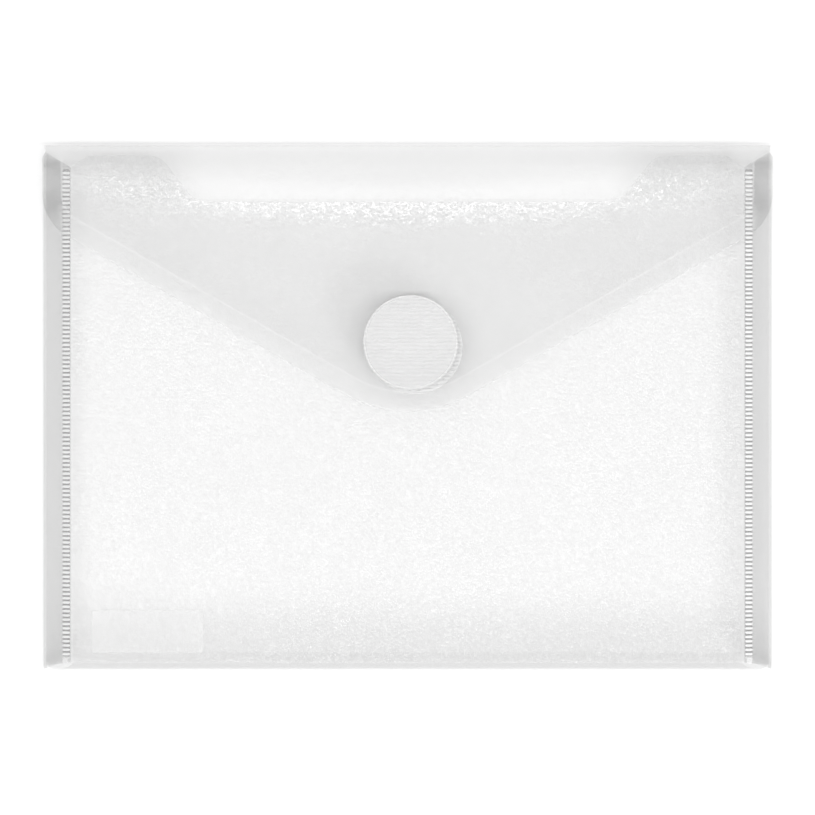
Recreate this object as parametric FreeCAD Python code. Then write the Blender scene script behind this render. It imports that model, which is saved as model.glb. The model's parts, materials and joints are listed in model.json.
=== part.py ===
import FreeCAD, Part
import math
import os
from FreeCAD import Vector

# A landscape document wallet of clear film, lying on its back with its flap closed.
# X runs along the mouth, Y from the bottom fold to the top fold, Z up off the table.
# The origin is under the middle of the wallet. All sizes are in millimetres and degrees.

# Whole wallet
width = 170.0  # over the two side folds
height = 122.0  # bottom fold to top fold
film = 0.3  # thickness of the film
pocket_gap = 4.6  # clear height between the back and front panels
hinge_gap = 0.08  # between a fold's rounded bead and the panel that turns round it
touch_gap = 0.05  # between film regions that only lie against each other

# Top fold, where the film is relieved at both ends
fold_inset = 0.5  # the crease stops this far inside the side folds
relief_depth = 0.2  # how far the relief cuts in past the crease's end
relief_top = 1.6  # below the top fold
relief_bottom = 2.8

# Bottom fold, a bowed strip between two creases
fold_bulge = 1.6
ear_width = 1.0  # corner of the back panel beside the strip

# Side walls
strip_width = 6.6  # side fold to front crease, seen from above
wall_rise = 0.3  # how far the wall's top outer edge stands over the front panel
crease_gap = 0.2  # between the front panel and the walls beside it
wing_chamfer_top = 3.6  # how far the wing's top edge drops from fold to seam
wing_chamfer_foot = 1.5

# Welded seams
seam_width = 1.9
seam_base = 0.08
seam_height = 0.2
seam_top_drop = 0.4  # below the notch beside the front panel
seam_foot = 1.4  # above the bottom fold
seam_pad = 1.8  # plain length at the foot of the seam
tooth_pitch = 1.0
tooth_land = 0.55

# Front panel's top edge
notch_drop = 5.1  # from the top fold down to the notch beside each tab
tab_drop = 2.4  # from the top fold down to the tabs
tab_chamfer = 3.9
shoulder_x = 57.6  # where the tab would meet the slope without its rounding
shoulder_radius = 5.0
slope_angle = 52.5
cutout_depth = 10.7
cutout_radius = 6.0

# Flap
flap_length = 61.9
flap_edge_angle = 29.7
flap_corner_radius = 11.7
flap_tip_radius = 29.3

# Hook-and-loop closure
disc_diameter = 22.0
disc_x = 0.7
disc_drop = 45.8  # from the top fold down to the loop disc's centre
hook_shift = 1.1  # the hook disc sits this much to the right and below
adhesive = 0.15
adhesive_inset = 0.4
hook_thickness = 0.85
loop_thickness = 0.95
disc_gap = 0.25
field_inset = 0.3
backing_share = 0.45  # of a disc's thickness

# Blank label
label_width = 25.9
label_height = 9.8
label_thickness = 0.08
label_radius = 0.8
label_side = 11.5  # from the left side fold
label_foot = 3.9  # from the bottom fold

# Levels and edges worked out from the sizes above
half_width = width / 2
top_edge = height / 2
bottom_edge = -height / 2
front_under = film + pocket_gap
front_top = front_under + film
closure_height = 2 * adhesive + hook_thickness + disc_gap + loop_thickness
flap_under = front_top + closure_height
bead = film / 2
fold_y = top_edge - bead
lower_fold_z = bead
upper_fold_z = flap_under + bead
foot_fold_y = bottom_edge + fold_bulge
foot_fold_z = front_under + bead
wall_x = half_width - strip_width + crease_gap / 2
panel_half = wall_x - crease_gap
fold_half = half_width - fold_inset


def rounded_face(corners, z):
    """Flat face from corners (x, y, radius), each rounded with a tangent arc."""
    edges = []
    starts = []
    ends = []
    count = len(corners)
    for i in range(count):
        x, y, radius = corners[i]
        here = Vector(x, y, z)
        before = Vector(corners[i - 1][0], corners[i - 1][1], z) - here
        after = Vector(corners[(i + 1) % count][0], corners[(i + 1) % count][1], z) - here
        before.normalize()
        after.normalize()
        if radius == 0:
            starts.append(here)
            ends.append(here)
            edges.append(None)
            continue
        half = before.getAngle(after) / 2
        reach = radius / math.tan(half)
        middle = before + after
        middle.normalize()
        starts.append(here + before * reach)
        ends.append(here + after * reach)
        crown = here + middle * (radius / math.sin(half) - radius)
        edges.append(Part.Arc(starts[i], crown, ends[i]).toShape())
    outline = []
    for i in range(count):
        if edges[i] is not None:
            outline.append(edges[i])
        outline.append(Part.LineSegment(ends[i], starts[(i + 1) % count]).toShape())
    return Part.Face(Part.Wire(outline))


def plate(corners, z, thickness):
    return rounded_face(corners, z).extrude(Vector(0, 0, thickness))


def both_sides(right_half):
    """Closed outline from the corners of its right half, listed from top to bottom."""
    left_half = [(-x, y, radius) for x, y, radius in reversed(right_half) if x > 0]
    return right_half + left_half


def mirrored(shape):
    return shape.mirror(Vector(0, 0, 0), Vector(1, 0, 0))


def bead_rod(half_length, y, z):
    return Part.makeCylinder(bead, 2 * half_length, Vector(-half_length, y, z), Vector(1, 0, 0))


def relieved_corner(top_y):
    """Right side of the film from the top crease past the relief to the side fold."""
    return [
        (fold_half, top_y, 0),
        (fold_half - relief_depth, top_edge - relief_top, 0),
        (half_width, top_edge - relief_bottom, 0),
    ]


# Side wall: a flat slope from the side fold up to the edge of the front panel
wall_run = half_width - wall_x
wall_climb = front_top + wall_rise - film
wall_length = math.hypot(wall_run, wall_climb)
up_slope = Vector(-wall_run / wall_length, 0, wall_climb / wall_length)
outward = Vector(wall_climb / wall_length, 0, wall_run / wall_length)
wall_foot = Vector(half_width, 0, film)
flange_start = (touch_gap + 2 * film * outward.z) / up_slope.z  # clears the back panel


def wall_slab(outer_depth, inner_depth, start):
    """Sloping layer between two depths under the wall's outer face, cut upright at its top."""
    reach = wall_length + strip_width
    outer = wall_foot - outward * outer_depth
    inner = wall_foot - outward * inner_depth
    section = Part.makePolygon([
        outer + up_slope * start,
        outer + up_slope * reach,
        inner + up_slope * reach,
        inner + up_slope * start,
        outer + up_slope * start,
    ])
    section.translate(Vector(0, bottom_edge, 0))
    slab = Part.Face(section).extrude(Vector(0, height, 0))
    room = Part.makeBox(strip_width, height, flap_under, Vector(wall_x, bottom_edge, film))
    return slab.common(room)


def trimmed(slab, corners):
    return slab.common(plate(corners, 0, flap_under))


def notch_y():
    return top_edge - notch_drop


def make_wing():
    outline = [
        (half_width, bottom_edge, 0),
        (half_width, top_edge - relief_bottom, 0),
        (fold_half - relief_depth, notch_y() + wing_chamfer_top, 0),
        (wall_x, notch_y(), 0),
        (wall_x, foot_fold_y, 0),
        (wall_x + seam_width, foot_fold_y, 0),
        (half_width - bead, foot_fold_y - wing_chamfer_foot, 0),
    ]
    return trimmed(wall_slab(0, film, -film), outline)


def make_flange():
    outline = [
        (half_width, foot_fold_y - wing_chamfer_foot / 2, 0),
        (half_width, notch_y() + wing_chamfer_top, 0),
        (wall_x, notch_y(), 0),
        (wall_x, foot_fold_y, 0),
    ]
    return trimmed(wall_slab(film, 2 * film, flange_start), outline)


def make_seam():
    """Knurled weld: a comb of teeth on a thin base, plain at its foot."""
    foot = bottom_edge + seam_foot
    top = notch_y() - seam_top_drop
    teeth_start = foot + seam_pad
    count = int((top - teeth_start) / tooth_pitch)
    profile = [(foot, 0), (foot, seam_height), (teeth_start, seam_height)]
    for i in range(count):
        tooth = teeth_start + (i + 1) * tooth_pitch
        profile.append((tooth - tooth_land, seam_height))
        profile.append((tooth - tooth_land, seam_base))
        profile.append((tooth, seam_base))
        profile.append((tooth, seam_height))
    profile.append((top, seam_height))
    profile.append((top, 0))
    profile.append((foot, 0))
    base = wall_foot + up_slope * wall_length
    points = [base + Vector(0, y, 0) + outward * lift for y, lift in profile]
    across = up_slope * (seam_width / up_slope.x)
    return Part.Face(Part.makePolygon(points)).extrude(across)


def make_back_panel():
    right = relieved_corner(fold_y) + [
        (half_width, bottom_edge + film, 0),
        (half_width - ear_width, bottom_edge + film, 0),
        (half_width - ear_width, foot_fold_y, 0),
    ]
    sheet = plate(both_sides(right), 0, film)
    return sheet.fuse(bead_rod(fold_half, fold_y, lower_fold_z)).removeSplitter()


def make_bottom_fold():
    middle = front_top / 2
    outer = Part.Arc(
        Vector(0, foot_fold_y, 0),
        Vector(0, bottom_edge, middle),
        Vector(0, foot_fold_y, front_top),
    ).toShape()
    inner = Part.Arc(
        Vector(0, foot_fold_y, front_under),
        Vector(0, bottom_edge + film, middle),
        Vector(0, foot_fold_y, film),
    ).toShape()
    top_end = Part.makeLine(Vector(0, foot_fold_y, front_top), Vector(0, foot_fold_y, front_under))
    low_end = Part.makeLine(Vector(0, foot_fold_y, film), Vector(0, foot_fold_y, 0))
    section = Part.Face(Part.Wire([outer, top_end, inner, low_end]))
    section.translate(Vector(-half_width, 0, 0))
    strip = section.extrude(Vector(width, 0, 0))
    strip = strip.fuse(bead_rod(half_width, foot_fold_y, foot_fold_z)).removeSplitter()
    # The strip's ends lean in with the side walls
    inside = wall_foot - outward * (2 * film + touch_gap)
    low = inside - up_slope * (inside.z / up_slope.z)
    high = inside + up_slope * ((flap_under - inside.z) / up_slope.z)
    low_x = min(low.x, half_width - ear_width - touch_gap)
    trim = Part.makePolygon([
        Vector(low_x, bottom_edge, 0),
        Vector(high.x, bottom_edge, flap_under),
        Vector(-high.x, bottom_edge, flap_under),
        Vector(-low_x, bottom_edge, 0),
        Vector(low_x, bottom_edge, 0),
    ])
    return strip.common(Part.Face(trim).extrude(Vector(0, height, 0)))


def make_top_spine():
    low = lower_fold_z + bead + hinge_gap
    strip = Part.makeBox(2 * fold_half, film, upper_fold_z - low, Vector(-fold_half, top_edge - film, low))
    return strip.fuse(bead_rod(fold_half, fold_y, upper_fold_z)).removeSplitter()


def make_flap_panel():
    slope = math.radians(flap_edge_angle)
    tip_y = top_edge - flap_length
    point_y = tip_y - flap_tip_radius * (1 / math.cos(slope) - 1)
    right = relieved_corner(fold_y - bead - hinge_gap) + [
        (half_width, point_y + half_width * math.tan(slope), flap_corner_radius),
        (0, point_y, flap_tip_radius),
    ]
    return plate(both_sides(right), flap_under, film)


def make_front_panel():
    slope = math.radians(slope_angle)
    tab_y = top_edge - tab_drop
    floor_x = shoulder_x - cutout_depth / math.tan(slope)
    right = [
        (floor_x, tab_y - cutout_depth, cutout_radius),
        (shoulder_x, tab_y, shoulder_radius),
        (panel_half - tab_chamfer, tab_y, 0),
        (panel_half, notch_y(), 0),
        (panel_half, foot_fold_y + bead + hinge_gap, 0),
    ]
    return plate(both_sides(right), front_under, film)


def make_disc(x, y, z, thickness, backing_side):
    """Backing disc and the slightly smaller field of hooks or loops on it."""
    backing = thickness * backing_share
    field = thickness - backing
    radius = disc_diameter / 2
    if backing_side == "below":
        backing_z = z
        field_z = z + backing
    else:
        backing_z = z + field
        field_z = z
    body = Part.makeCylinder(radius, backing, Vector(x, y, backing_z))
    return body.fuse(Part.makeCylinder(radius - field_inset, field, Vector(x, y, field_z)))


def make_adhesive(x, y, z):
    return Part.makeCylinder(disc_diameter / 2 - adhesive_inset, adhesive, Vector(x, y, z))


def make_label():
    left = -half_width + label_side
    foot = bottom_edge + label_foot
    corners = [
        (left, foot, label_radius),
        (left, foot + label_height, label_radius),
        (left + label_width, foot + label_height, label_radius),
        (left + label_width, foot, label_radius),
    ]
    return plate(corners, front_top, label_thickness)


def make_parts():
    wing = make_wing()
    flange = make_flange()
    seam = make_seam()
    loop_y = top_edge - disc_drop
    hook_x = disc_x + hook_shift
    hook_y = loop_y - hook_shift
    hook_z = front_top + adhesive
    loop_z = hook_z + hook_thickness + disc_gap
    return {
        "back_panel": make_back_panel(),
        "bottom_fold": make_bottom_fold(),
        "right_wing": wing,
        "left_wing": mirrored(wing),
        "right_flange": flange,
        "left_flange": mirrored(flange),
        "right_seam": seam,
        "left_seam": mirrored(seam),
        "top_spine": make_top_spine(),
        "flap_panel": make_flap_panel(),
        "loop_adhesive": make_adhesive(disc_x, loop_y, flap_under - adhesive),
        "loop_disc": make_disc(disc_x, loop_y, loop_z, loop_thickness, "above"),
        "front_panel": make_front_panel(),
        "hook_adhesive": make_adhesive(hook_x, hook_y, front_top),
        "hook_disc": make_disc(hook_x, hook_y, hook_z, hook_thickness, "below"),
        "blank_label": make_label(),
    }


os.makedirs("parts", exist_ok=True)
for name, shape in make_parts().items():
    box = shape.BoundBox
    print(
        f"{name:14s} solids {len(shape.Solids)} valid {shape.isValid()} volume {shape.Volume:9.2f}"
        f"  x {box.XMin:.2f} {box.XMax:.2f}  y {box.YMin:.2f} {box.YMax:.2f}  z {box.ZMin:.2f} {box.ZMax:.2f}"
    )
    shape.exportStep(f"parts/{name}.step")
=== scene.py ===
import json
import math
import bpy
import numpy as np
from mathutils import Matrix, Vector, geometry, kdtree, noise


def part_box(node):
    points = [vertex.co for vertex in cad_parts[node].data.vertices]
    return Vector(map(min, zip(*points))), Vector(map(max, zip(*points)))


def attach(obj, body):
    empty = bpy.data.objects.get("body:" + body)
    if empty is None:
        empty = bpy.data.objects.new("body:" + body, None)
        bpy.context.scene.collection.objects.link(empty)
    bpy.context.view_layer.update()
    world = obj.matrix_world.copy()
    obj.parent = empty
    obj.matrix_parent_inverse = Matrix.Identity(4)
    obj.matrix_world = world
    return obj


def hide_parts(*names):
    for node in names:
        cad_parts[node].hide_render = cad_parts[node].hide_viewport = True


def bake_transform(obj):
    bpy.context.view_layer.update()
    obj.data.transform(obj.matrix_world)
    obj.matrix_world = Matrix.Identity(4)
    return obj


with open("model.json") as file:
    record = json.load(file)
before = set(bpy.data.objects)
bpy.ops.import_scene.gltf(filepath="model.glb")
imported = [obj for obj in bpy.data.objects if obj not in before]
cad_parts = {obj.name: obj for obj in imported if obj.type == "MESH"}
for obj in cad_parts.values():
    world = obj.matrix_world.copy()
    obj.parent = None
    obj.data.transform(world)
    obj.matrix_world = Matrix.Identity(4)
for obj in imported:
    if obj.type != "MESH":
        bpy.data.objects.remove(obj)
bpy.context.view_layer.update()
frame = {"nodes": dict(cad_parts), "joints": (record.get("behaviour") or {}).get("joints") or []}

print("frame loaded:", len(frame["nodes"]), "nodes")

# Patterns are drawn flat in millimetres, folded, then stored in metres.
mm = 1000.0


def boxMm(node):
    low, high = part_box(node)
    return low * mm, high * mm


backHigh = boxMm("back_panel")[1]
footLow = boxMm("bottom_fold")[0]
frontLow, frontHigh = boxMm("front_panel")
flapLow, flapHigh = boxMm("flap_panel")
seamLow, seamHigh = boxMm("right_seam")
spineLow, spineHigh = boxMm("top_spine")
loopLow, loopHigh = boxMm("loop_disc")
hookLow, hookHigh = boxMm("hook_disc")
labelLow, labelHigh = boxMm("blank_label")
joints = {joint["name"]: Vector(joint["pos_m"]) * mm for joint in frame["joints"]}

film = flapHigh.z - flapLow.z
backMid = film / 2
frontMid = (frontLow.z + frontHigh.z) / 2
flapMid = (flapLow.z + flapHigh.z) / 2
foldY = joints["spine_fold"].y
footY = joints["pocket_open"].y
spineMid = (spineLow.z + spineHigh.z) / 2
foldHalf = spineHigh.x
halfWidth = backHigh.x


def addObject(name, data):
    thing = bpy.data.objects.new(name, data)
    bpy.context.scene.collection.objects.link(thing)
    return thing


# Flat outlines and their triangles

def roundedPath(corners, spacing, closed=True):
    # corners are (x, y, radius); straight runs and arcs are divided to the spacing
    count = len(corners)
    stops = []
    for i, (x, y, radius) in enumerate(corners):
        here = Vector((x, y))
        if radius == 0 or (not closed and i in (0, count - 1)):
            stops.append([here])
            continue
        before = (Vector(corners[i - 1][:2]) - here).normalized()
        after = (Vector(corners[(i + 1) % count][:2]) - here).normalized()
        half = before.angle(after) / 2
        centre = here + (before + after).normalized() * (radius / math.sin(half))
        first = here + before * (radius / math.tan(half)) - centre
        last = here + after * (radius / math.tan(half)) - centre
        turn = math.atan2(first.x * last.y - first.y * last.x, first.dot(last))
        steps = max(3, int(abs(turn) * radius / spacing) + 1)
        arc = []
        for k in range(steps + 1):
            angle = math.atan2(first.y, first.x) + turn * k / steps
            arc.append(centre + Vector((math.cos(angle), math.sin(angle))) * radius)
        stops.append(arc)
    path = []
    for i, stop in enumerate(stops):
        path.extend(stop)
        if i == count - 1 and not closed:
            break
        start, end = stop[-1], stops[(i + 1) % count][0]
        steps = max(1, round((end - start).length / spacing))
        path.extend(start.lerp(end, k / steps) for k in range(1, steps))
    return path


def mirrorHalf(rightHalf):
    # a closed outline from the corners of its right half, listed from top to bottom
    return rightHalf + [(-x, y, radius) for x, y, radius in reversed(rightHalf) if x > 0]


def shiftedPath(path, distance):
    # an open path moved sideways, to its left when distance is positive
    moved = []
    for i, point in enumerate(path):
        along = (path[min(i + 1, len(path) - 1)] - path[max(i - 1, 0)]).normalized()
        moved.append(point + Vector((-along.y, along.x)) * distance)
    return moved


def insideOutline(points, outline):
    x, y = points[:, 0], points[:, 1]
    inside = np.zeros(len(points), bool)
    for (ax, ay), (bx, by) in zip(outline, np.roll(outline, -1, axis=0)):
        if ay == by:
            continue
        crosses = (ay > y) != (by > y)
        inside ^= crosses & (x < (bx - ax) * (y - ay) / (by - ay) + ax)
    return inside


def fillPattern(outline, paths, stepX, stepY):
    # points and triangles of a flat pattern that keeps its outline and paths as edges
    points, edges = [], []
    for path, closed in [(outline, True)] + [(path, False) for path in paths]:
        first = len(points)
        points.extend(path)
        edges.extend((first + i, first + i + 1) for i in range(len(path) - 1))
        if closed:
            edges.append((len(points) - 1, first))
    tree = kdtree.KDTree(len(points))
    for i, point in enumerate(points):
        tree.insert((point[0], point[1], 0), i)
    tree.balance()
    rim = np.array([tuple(point) for point in outline])
    xs = np.arange(rim[:, 0].min() + stepX / 2, rim[:, 0].max(), stepX)
    ys = np.arange(rim[:, 1].min() + stepY / 2, rim[:, 1].max(), stepY)
    grid = np.array([(x, y) for y in ys for x in xs])
    for x, y in grid[insideOutline(grid, rim)]:
        if tree.find((x, y, 0))[2] > min(stepX, stepY) * 0.6:
            points.append(Vector((x, y)))
    made = geometry.delaunay_2d_cdt(points, edges, [], 0, 1e-5)
    flat = np.array([tuple(point) for point in made[0]])
    triangles = np.array([tuple(face) for face in made[2]])
    triangles = triangles[insideOutline(flat[triangles].mean(axis=1), rim)]
    a, b, c = (flat[triangles[:, i]] for i in range(3))
    turn = (b[:, 0] - a[:, 0]) * (c[:, 1] - a[:, 1]) - (b[:, 1] - a[:, 1]) * (c[:, 0] - a[:, 0])
    triangles = triangles[np.abs(turn) > 1e-7]
    turn = turn[np.abs(turn) > 1e-7]
    triangles[turn < 0] = triangles[turn < 0][:, ::-1]
    used = np.unique(triangles)
    place = np.full(len(flat), -1)
    place[used] = np.arange(len(used))
    return flat[used], place[triangles]


def acrossRow(left, right, y, count):
    return [Vector((x, y)) for x in np.linspace(left, right, count)]


def alongRow(x, low, high, count):
    return [Vector((x, y)) for y in np.linspace(low, high, count)]


def mirrorPattern(flat, triangles):
    return flat * np.array((-1, 1)), triangles[:, ::-1]


def makeShell(name, flat, triangles, foldPoint, thickness, masks):
    # a closed sheet of the given thickness about the folded middle surface
    step = 0.02
    middle = np.array([foldPoint(x, y) for x, y in flat])
    alongX = np.array([foldPoint(x + step, y) for x, y in flat])
    alongX -= np.array([foldPoint(x - step, y) for x, y in flat])
    alongY = np.array([foldPoint(x, y + step) for x, y in flat])
    alongY -= np.array([foldPoint(x, y - step) for x, y in flat])
    normal = np.cross(alongX, alongY)
    normal /= np.linalg.norm(normal, axis=1)[:, None]
    count = len(flat)
    verts = np.vstack([middle + normal * thickness / 2, middle - normal * thickness / 2]) / mm
    directed = {}
    for a, b, c in triangles:
        for edge in ((a, b), (b, c), (c, a)):
            directed[edge] = True
    rim = [(a, b) for a, b in directed if (b, a) not in directed]
    faces = [tuple(t) for t in triangles]
    faces += [(c + count, b + count, a + count) for a, b, c in triangles]
    faces += [(a + count, b + count, b, a) for a, b in rim]
    mesh = bpy.data.meshes.new(name)
    mesh.from_pydata([tuple(v) for v in verts], [], [tuple(int(i) for i in f) for f in faces])
    mesh.shade_smooth()
    rimEdges = {frozenset(edge) for edge in rim}
    rimEdges |= {frozenset((a + count, b + count)) for a, b in rim}
    for edge in mesh.edges:
        if frozenset(edge.vertices) in rimEdges:
            edge.use_edge_sharp = True
    uv = mesh.uv_layers.new(name="pattern")
    corner = np.zeros(len(mesh.loops), int)
    mesh.loops.foreach_get("vertex_index", corner)
    uv.data.foreach_set("uv", (np.vstack([flat, flat]) / mm)[corner].ravel())
    for title, rule in masks.items():
        values = np.array([rule(x, y) for x, y in flat])
        mask = mesh.attributes.new(title, "FLOAT", "POINT")
        mask.data.foreach_set("value", np.concatenate([values, values]).astype(np.float32))
    return addObject(name, mesh)


def walk(segments, distance):
    # how far across and up a folded strip is, after a distance along its (length, turn) runs
    across = up = heading = 0.0
    for length, turn in segments:
        part = min(distance, length)
        if abs(turn) < 1e-9:
            across += part * math.cos(heading)
            up += part * math.sin(heading)
        else:
            radius = length / turn
            end = heading + part / radius
            across += radius * (math.sin(end) - math.sin(heading))
            up += radius * (math.cos(heading) - math.cos(end))
            heading = end
        distance -= part
        if distance <= 0:
            break
    return across, up


def smooth(low, high, value):
    t = min(max((value - low) / (high - low), 0.0), 1.0)
    return t * t * (3 - 2 * t)


def bell(distance, reach):
    return math.cos(min(abs(distance) / reach, 1.0) * math.pi / 2) ** 2


def ripple(x, y, seed):
    # slow unevenness of a sheet that has been rolled and cut
    return noise.noise(Vector((x / 38.0, y / 26.0, seed)))


# Side walls: the wing rises from the side fold, and the front's flange lies under it

wallValues = {
    "foldRadius": 0.28,
    "topX": 78.5,
    "topZ": 5.3,
    "creaseRadius": 0.4,
    "layerGap": 0.02,
    # painted shade of the side walls, deeper under the flap
    "shade": 0.38,
    "coveredShade": 0.52,
}
sideStart = halfWidth - film / 2 - wallValues["foldRadius"]
wallTurn = math.radians(142)
for _ in range(6):
    bendX = sideStart + wallValues["foldRadius"] * math.sin(wallTurn)
    bendZ = backMid + wallValues["foldRadius"] * (1 - math.cos(wallTurn))
    wallTurn = math.atan2(wallValues["topZ"] - bendZ, wallValues["topX"] - bendX)
slopeUp = Vector((math.cos(wallTurn), 0, math.sin(wallTurn)))
slopeOut = Vector((math.sin(wallTurn), 0, -math.cos(wallTurn)))
wingBend = wallValues["foldRadius"] * wallTurn
sideFold = [(wingBend, wallTurn), (30.0, 0.0)]


def wingPattern(x):
    # pattern distance from the middle of the point of the wing that stands over x
    return sideStart + wingBend + (x - bendX) / slopeUp.x


# Back film: back panel, both wings, the bottom fold and the lower half of the spine

backValues = {
    "creaseRadius": 0.5,
    "notchDrop": 5.1,
    "chamferTop": 3.6,
    "reliefDepth": 0.2,
    "reliefTop": 1.6,
    "reliefBottom": 2.8,
    "footCrease": 0.3,
    "spineBow": 0.03,
    # painted shade along the side fold and on the bottom fold
    "rimShade": 1.0,
    "rimReach": 1.2,
    "footShade": 0.7,
}
topY = backHigh.y
bottomY = footLow.y
notchY = topY - backValues["notchDrop"]
spineX = foldHalf
topStart = foldY - backValues["creaseRadius"]
topBend = backValues["creaseRadius"] * math.pi / 2
topFold = [(topBend, math.pi / 2), (30.0, 0.0)]
footRise = frontMid - backMid
footSag = footY - film / 2 - bottomY
footRadius = (footRise ** 2 / 4 + footSag ** 2) / (2 * footSag)
footArc = 2 * math.asin(footRise / 2 / footRadius)
kink = math.pi / 2 - footArc / 2
footLength = footRadius * footArc
footFold = [(backValues["footCrease"], kink), (footLength, footArc), (5.0, 0.0)]
footStart = footY + backValues["footCrease"] / 2
footEnd = footStart - backValues["footCrease"] - footLength


def backPoint(p, q):
    side = 1.0 if p >= 0 else -1.0
    if abs(p) > sideStart:
        across, up = walk(sideFold, abs(p) - sideStart)
        return side * (sideStart + across), q, backMid + up
    if q > topStart:
        across, up = walk(topFold, q - topStart)
        bow = backValues["spineBow"] * math.sin(math.pi * min(max(up / (2 * spineMid), 0), 1))
        return p, topStart + across + bow, backMid + up
    if q < footStart:
        across, up = walk(footFold, footStart - q)
        return p, footStart - across, backMid + up
    return p, q, backMid


# crease whitening with painted highlights along the side folds, the top crease and the bottom fold
def backWhiteningAndLight(p, q):
    mark = bell(abs(p) - sideStart - wingBend / 2, 0.5) * 0.1
    if abs(p) < sideStart:
        mark = max(mark, bell(q - topStart - topBend / 2, 0.7) * 0.2, bell(q - footY, 0.5) * 0.15)
    return mark


def lowerShade(q):
    # painted shade, growing towards the bottom fold
    return 0.5 * smooth(footY + 19, footY + 3, q)


def wallShade(q):
    # painted shade on the side walls, deeper where the flap covers them
    v = wallValues
    return v["shade"] + v["coveredShade"] * smooth(cornerY + 0.5, cornerY + 4, q)


# painted shade on the wings, along the side fold's rim, on the bottom fold and towards the bottom
def backShade(p, q):
    v = backValues
    wing = smooth(sideStart, sideStart + wingBend, abs(p)) * wallShade(q)
    foot = v["footShade"] * smooth(footY + 2.5, footY + 2.2, q)
    rim = v["rimShade"] * bell(abs(p) - sideStart - wingBend / 2, v["rimReach"])
    return max(wing, foot, rim, lowerShade(q))


def footHalf(q):
    # half width of the bottom fold, whose ends lean in with the side walls
    height = backPoint(0, q)[2]
    reach = (height - bendZ) / slopeUp.z
    return bendX + slopeUp.x * reach - (film * 1.5 + 0.1) / slopeOut.x


def makeBackFilm():
    earX = halfWidth - 1.0
    spineEnd = topStart + topBend + spineMid - backMid - backValues["creaseRadius"]
    right = [
        (spineX, spineEnd, 0),
        (spineX, foldY, 0),
        (spineX - backValues["reliefDepth"], topY - backValues["reliefTop"], 0),
        (wingPattern(spineX - backValues["reliefDepth"]), notchY + backValues["chamferTop"], 0),
        (wingPattern(wallValues["topX"]), notchY, 0),
        (wingPattern(wallValues["topX"]), footY, 0),
        (wingPattern(seamHigh.x), footY, 0),
        (wingPattern(halfWidth - film), bottomY + 0.1, 0),
        (earX, bottomY + film, 0),
        (earX, footY, 0),
    ]
    steps = 8
    for k in range(steps + 1):
        q = footY + (footEnd - footY) * k / steps
        right.append((min(footHalf(q), earX - 0.1), q, 0))
    outline = roundedPath(mirrorHalf(right), 1.5)
    rows = []
    for k in range(9):
        q = topStart + topBend * k / 8
        rows.append(acrossRow(-spineX, spineX, q, 60))
    for q in (footY + 2.5, footY + 2.2, footY + 0.7):
        rows.append(acrossRow(1 - halfWidth, halfWidth - 1, q, 60))
    for k in range(13):
        q = footStart + (footEnd - footStart) * k / 13
        half = min(footHalf(q), earX - 0.1)
        rows.append(acrossRow(-half, half, q, 60))
    for side in (-1, 1):
        for k in range(9):
            p = side * (sideStart + wingBend * k / 8)
            top = notchY + backValues["chamferTop"] - 1.0
            rows.append(alongRow(p, bottomY + 0.7, top, 60))
        for inset in (0.4, 1.0):
            p = side * (sideStart - inset)
            rows.append(alongRow(p, footY + 3, topY - 3, 60))
        p = side * (sideStart + wingBend + 0.4)
        rows.append(alongRow(p, footY + 3, notchY, 60))
    flat, triangles = fillPattern(outline, rows, 3.0, 3.0)
    masks = {"whitening_and_painted_light": backWhiteningAndLight, "shade": backShade}
    piece = makeShell("backFilm", flat, triangles, backPoint, film, masks)
    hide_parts("back_panel", "bottom_fold", "right_wing", "left_wing")
    return piece


# Flap film: the upper half of the spine, the top crease and the flap with its embossed line

flapValues = {
    "creaseRadius": 0.5,
    "edgeAngle": 29.7,
    "cornerRadius": 11.7,
    "tipRadius": 29.3,
    "lineInset": 4.5,
    "lineDrop": 3.2,
    "lineReach": 0.24,
    "lineHeight": 0.09,
    "lift": 0.62,
    "liftCentre": 48.9,
    "liftCurve": 2.2,
    "liftSpread": 1.9,
    # painted shade by the edge and over the shoulders, painted light in the margin
    "marginShade": 0.2,
    "marginReach": 11.0,
    "marginPaintedLight": 0.09,
    "shoulderShade": 0.3,
    "shoulderX": (46.0, 57.0),
    "shoulderY": (45.0, 50.0),
    "reliefDrop": 2.5,
    "riseDrop": 0.7,
    "riseReach": 3.3,
    "ripple": 0.12,
    "scoreRows": (0.45, 1.0),
    "scoreReach": 0.16,
    "scoreHeight": 0.05,
}
flapStart = foldY - flapValues["creaseRadius"]
flapBend = flapValues["creaseRadius"] * math.pi / 2
flapFold = [(flapBend, -math.pi / 2), (30.0, 0.0)]
flapSlope = math.radians(flapValues["edgeAngle"])
tipY = flapLow.y
pointY = tipY - flapValues["tipRadius"] * (1 / math.cos(flapSlope) - 1)
cornerY = pointY + halfWidth * math.tan(flapSlope)


def flapLine():
    inset = flapValues["lineInset"]
    lineX = halfWidth - inset
    lineTip = pointY + inset / math.cos(flapSlope)
    corners = [
        (-lineX, topY - flapValues["lineDrop"], 0),
        (-lineX, lineTip + lineX * math.tan(flapSlope), flapValues["cornerRadius"] - inset),
        (0, lineTip, flapValues["tipRadius"] - inset),
        (lineX, lineTip + lineX * math.tan(flapSlope), flapValues["cornerRadius"] - inset),
        (lineX, topY - flapValues["lineDrop"], 0),
    ]
    return roundedPath(corners, 0.8, closed=False)


linePath = flapLine()
lineDense = []
for a, b in zip(linePath, linePath[1:]):
    lineDense.extend(a.lerp(b, k / 6) for k in range(6))
lineTree = kdtree.KDTree(len(lineDense))
for i, point in enumerate(lineDense):
    lineTree.insert((point.x, point.y, 0), i)
lineTree.balance()


def lineDistance(x, y):
    return lineTree.find((x, y, 0))[2]


def liftedBand(x, y, centre, curve, spread):
    # rises past the mouth of the pocket, with its steepest slope at the centre
    middle = centre + curve * (x / 65.0) ** 2
    return 1 / (1 + math.exp(-(y - middle) / spread))


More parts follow.
